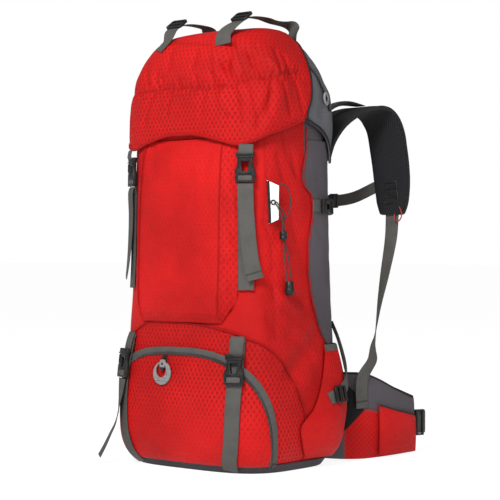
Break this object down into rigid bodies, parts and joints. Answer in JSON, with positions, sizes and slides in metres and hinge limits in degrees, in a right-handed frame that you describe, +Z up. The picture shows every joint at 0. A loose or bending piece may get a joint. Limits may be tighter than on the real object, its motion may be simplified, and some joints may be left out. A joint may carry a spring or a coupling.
{
  "type": "hiking backpack",
  "caption": "Tall framed hiking backpack with a domed lid, front and side pockets, lower compartment, padded shoulder straps and hip belt, standing on its base.",
  "frame": {"origin": "middle of the base, on the floor", "axes": "+Z up the pack, the front towards -Y, the harness towards +Y, +X to the right seen from the front"},
  "size_m": [0.3786, 0.4897, 0.7196],
  "materials": {
    "red_cloth": "woven red nylon with a fine pattern",
    "grey_cloth": "woven dark grey nylon",
    "base_cloth": "coated dark grey cloth",
    "webbing": "grey ribbed webbing",
    "black_mesh": "black air mesh over foam",
    "black_plastic": "satin moulded",
    "puller": "grey rubbery",
    "white_tab": "white coated cloth",
    "cord": "braided"
  },
  "bodies": {
    "root": {"main_bag": "red_cloth", "base_panel": "base_cloth", "front_pocket": "red_cloth", "lower_door": "red_cloth", "zip_cover": "webbing", "zip_puller": "puller", "lid_puller": "puller", "side_panel_r": "grey_cloth", "side_panel_l": "grey_cloth", "side_pocket_r": "red_cloth", "side_pocket_l": "red_cloth", "lid_crown": "red_cloth", "lid_rear": "grey_cloth", "front_strap_r": "webbing", "front_strap_l": "webbing", "front_buckle_r": "black_plastic", "front_buckle_l": "black_plastic", "lower_strap_r": "webbing", "lower_strap_l": "webbing", "lower_buckle_r": "black_plastic", "lower_buckle_l": "black_plastic", "top_strap_r": "webbing", "top_strap_l": "webbing", "top_buckle_r": "black_plastic", "top_buckle_l": "black_plastic", "side_strap_r": "webbing", "side_strap_l": "webbing", "side_buckle_r": "black_plastic", "side_buckle_l": "black_plastic", "lower_side_strap_r": "webbing", "lower_side_strap_l": "webbing", "ladder_lock_r": "black_plastic", "ladder_lock_l": "black_plastic", "back_pad": "black_mesh", "shoulder_pad_r": "black_mesh", "shoulder_pad_l": "black_mesh", "load_lifter_r": "webbing", "load_lifter_l": "webbing", "sternum_strap": "webbing", "lower_tail": "webbing", "hip_wing_r": "grey_cloth", "hip_wing_l": "grey_cloth", "hip_pocket_r": "red_cloth", "hip_pocket_l": "red_cloth", "hip_strap_r": "webbing", "hip_strap_l": "webbing", "hip_buckle_r": "black_plastic", "hip_buckle_l": "black_plastic", "shoulder_webbing_r": "webbing", "shoulder_webbing_l": "webbing", "pole_tab_r": "white_tab", "pole_tab_l": "white_tab", "pole_loop_r": "cord", "pole_loop_l": "cord", "pole_cord_r": "cord", "pole_cord_l": "cord", "cord_lock_r": "black_plastic", "cord_lock_l": "black_plastic", "cord_end_r": "black_plastic", "cord_end_l": "black_plastic"}
  },
  "joints": []
}
